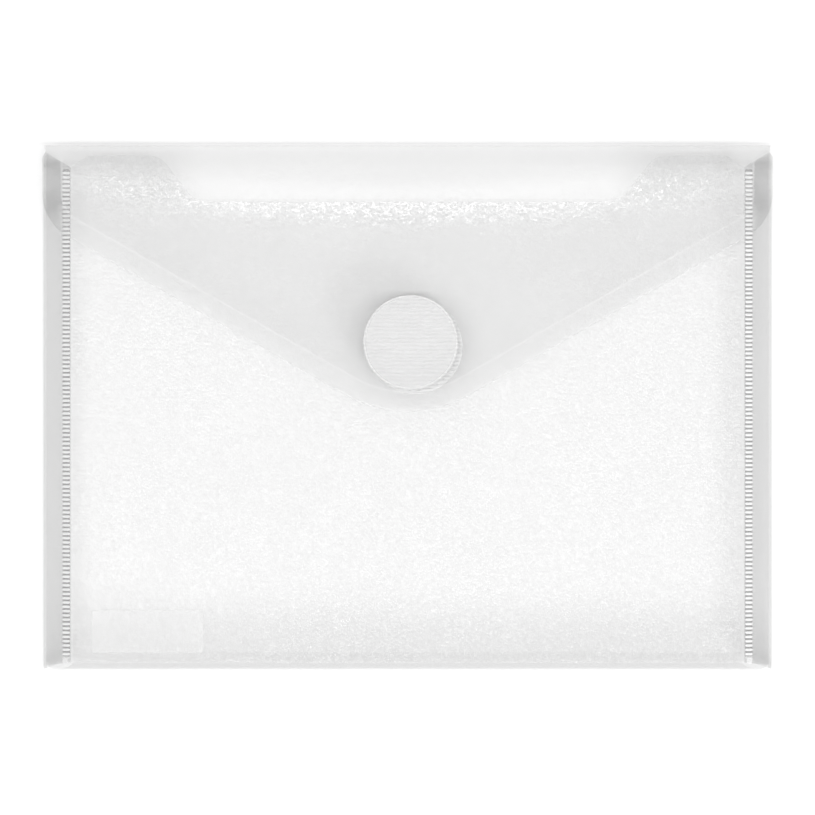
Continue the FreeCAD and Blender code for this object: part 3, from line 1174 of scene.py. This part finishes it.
def makeClosure(v):
    loopBase = loopHigh.z - v["backing"]
    hookBase = hookLow.z + v["backing"]
    loop = latheDisc("loopDisc", discX, discY, discRadius, loopBase, loopHigh.z, v["edge"])
    hook = latheDisc("hookDisc", hookX, hookY, discRadius, hookLow.z, hookBase, v["edge"])
    drop = loopBase - loopLow.z - 0.03
    rise = hookHigh.z - hookBase - v["hookWire"]
    size = v["loopSize"]
    loopTree = makePileTree("loopPile", {
        "Start": (-size / 2, 0, 0.03), "Start Handle": (-size, 0, -drop * 1.3),
        "End Handle": (size, 0, -drop * 1.3), "End": (size / 2, 0, 0.03)}, 7)
    hookTree = makePileTree("hookField", {
        "Start": (0, 0, -0.03), "Start Handle": (0, 0, rise * 1.45),
        "End Handle": (0.5, 0, rise * 1.35), "End": (0.42, 0, rise * 0.5)}, 7)
    runTree(loop, loopTree, {
        "Centre": (discX / mm, discY / mm, loopBase / mm),
        "Radius": (discRadius - 0.5) / mm, "Pitch": v["loopPitch"] / mm, "Wire": v["loopWire"] / mm,
        "Turn": 2 * math.pi, "Seed": v["seed"],
        "Material": nylonMaterial("loopNylon", 0.88, 0.6)})
    runTree(hook, hookTree, {
        "Centre": (hookX / mm, hookY / mm, hookBase / mm),
        "Radius": (discRadius - 0.6) / mm, "Pitch": v["hookPitch"] / mm, "Wire": v["hookWire"] / mm,
        "Turn": 0.5, "Seed": v["seed"],
        "Material": nylonMaterial("hookNylon", 0.82, 0.4)})
    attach(loop, "flap")
    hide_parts("loop_disc")
    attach(hook, "front")
    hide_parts("hook_disc")
    glue = adhesiveMaterial()
    inner = discRadius - v["adhesiveInset"]
    for name, node, body, x, y in (
            ("loopAdhesive", "loop_adhesive", "flap", discX, discY),
            ("hookAdhesive", "hook_adhesive", "front", hookX, hookY)):
        low, high = boxMm(node)
        piece = latheDisc(name, x, y, inner, low.z + 0.005, high.z - 0.005, 0.05)
        piece.data.materials.append(glue)
        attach(piece, body)
        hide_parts(node)
    print("closure made:", len(loop.data.polygons), "and", len(hook.data.polygons), "faces")


makeClosure(closureValues)


# Blank label

labelValues = {"thickness": 0.08, "corner": 0.8, "alpha": 0.055, "tone": 1.0}


def labelPoint(x, y):
    _, _, z = frontPoint(x, y)
    return x, y, z + film / 2 + labelValues["thickness"] / 2 + 0.01


def makeLabel(v):
    corners = [
        (labelLow.x, labelLow.y, v["corner"]), (labelHigh.x, labelLow.y, v["corner"]),
        (labelHigh.x, labelHigh.y, v["corner"]), (labelLow.x, labelHigh.y, v["corner"]),
    ]
    flat, triangles = fillPattern(roundedPath(corners, 0.8), [], 1.3, 1.3)
    masks = {"whitening_and_painted_light": lambda x, y: 0.0, "shade": lambda x, y: 0.0}
    piece = makeShell("blankLabel", flat, triangles, labelPoint, v["thickness"], masks)
    piece.data.materials.append(filmMaterial("labelFilm", {
        **plainFilm, "haze": 0.05, "rough": 0.5, "alpha": v["alpha"],
        "film": v["tone"], "shaded": v["tone"], "crease_and_painted_light": v["tone"]}))
    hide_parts("blank_label")
    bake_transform(piece)


makeLabel(labelValues)
print("label made")

# Stage, light and camera

stageValues = {
    "floorSize": 8.0,
    "floorDrop": 0.2,
    "floorTone": 0.86,
    "worldTone": 0.63,
    "keyStrength": 0.9,
    "keySoftness": 20.0,
    "keyAzimuth": 137.0,
    "keyElevation": 31.0,
    "bandStrength": 20.0,
    "bandWidth": 0.08,
    "bandTilt": 8.0,
    "bandLength": 3.0,
    "bandReach": 1.6,
    "bandAim": 0.049,
    "viewWidth": 0.190,
    "distance": 4.0,
}


def makeStage(v):
    size = v["floorSize"] / 2
    mesh = bpy.data.meshes.new("floor")
    corners = [(-size, -size, 0), (size, -size, 0), (size, size, 0), (-size, size, 0)]
    mesh.from_pydata(corners, [], [(0, 1, 2, 3)])
    floor = addObject("floor", mesh)
    floor.location.z = -v["floorDrop"] / mm
    material, tree, shader = newMaterial("floorPaper")
    shader.inputs["Base Color"].default_value = grey(v["floorTone"])
    shader.inputs["Roughness"].default_value = 0.9
    shader.inputs["Specular IOR Level"].default_value = 0.0
    mesh.materials.append(material)
    world = bpy.data.worlds.new("studio")
    world.use_nodes = True
    world.node_tree.nodes["Background"].inputs["Color"].default_value = grey(1.0)
    world.node_tree.nodes["Background"].inputs["Strength"].default_value = v["worldTone"]
    bpy.context.scene.world = world


def makeLights(v):
    key = bpy.data.lights.new("keyLight", "SUN")
    key.energy = v["keyStrength"]
    key.angle = math.radians(v["keySoftness"])
    azimuth, height = math.radians(v["keyAzimuth"]), math.radians(v["keyElevation"])
    toLight = Vector((
        math.cos(height) * math.sin(azimuth),
        math.cos(height) * math.cos(azimuth),
        math.sin(height),
    ))
    addObject("keyLight", key).rotation_euler = toLight.to_track_quat("Z", "Y").to_euler()
    band = bpy.data.lights.new("bandLight", "AREA")
    band.shape = "RECTANGLE"
    band.size = v["bandLength"]
    band.size_y = v["bandWidth"]
    band.energy = v["bandStrength"]
    strip = addObject("bandLight", band)
    tilt = math.radians(v["bandTilt"])
    reach = v["bandReach"]
    strip.location = (0, v["bandAim"] - reach * math.sin(tilt), reach * math.cos(tilt))
    strip.rotation_euler = (-tilt, 0, 0)
    strip.visible_camera = False


def makeCamera(v):
    data = bpy.data.cameras.new("camera")
    data.sensor_width = 36.0
    data.lens = 36.0 * v["distance"] / v["viewWidth"]
    data.clip_end = 20.0
    camera = addObject("camera", data)
    camera.location = (0, 0, v["distance"])
    bpy.context.scene.camera = camera


makeStage(stageValues)
makeLights(stageValues)
makeCamera(stageValues)
scene = bpy.context.scene
scene.view_settings.view_transform = "Standard"
scene.cycles.transparent_max_bounces = 40
print("stage ready")
